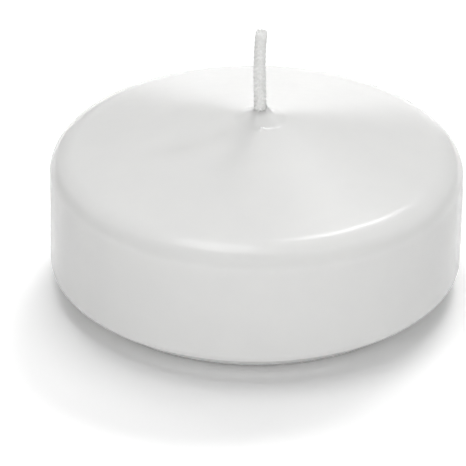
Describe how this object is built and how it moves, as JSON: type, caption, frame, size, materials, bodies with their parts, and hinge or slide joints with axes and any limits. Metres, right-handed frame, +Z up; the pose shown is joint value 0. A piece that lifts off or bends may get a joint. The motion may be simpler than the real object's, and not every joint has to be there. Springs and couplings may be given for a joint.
{
  "type": "floating candle",
  "caption": "Round floating candle: a white wax disc with a shallow cone top, rounded shoulder and tapered underside, and an upright waxed wick crimped into a steel tab in the base.",
  "frame": {"origin": "centre of the flat base, on the surface that the candle stands on", "axes": "+Z up along the disc's axis, towards the wick; +X the way in which the wick stands off the middle"},
  "size_m": [0.076, 0.076, 0.0514],
  "materials": {
    "wax": "satin",
    "wick_cotton": "matte",
    "tinned_steel": "satin"
  },
  "bodies": {
    "root": {"wax_body": "wax", "wick": "wick_cotton", "wick_sustainer": "tinned_steel"}
  },
  "joints": []
}
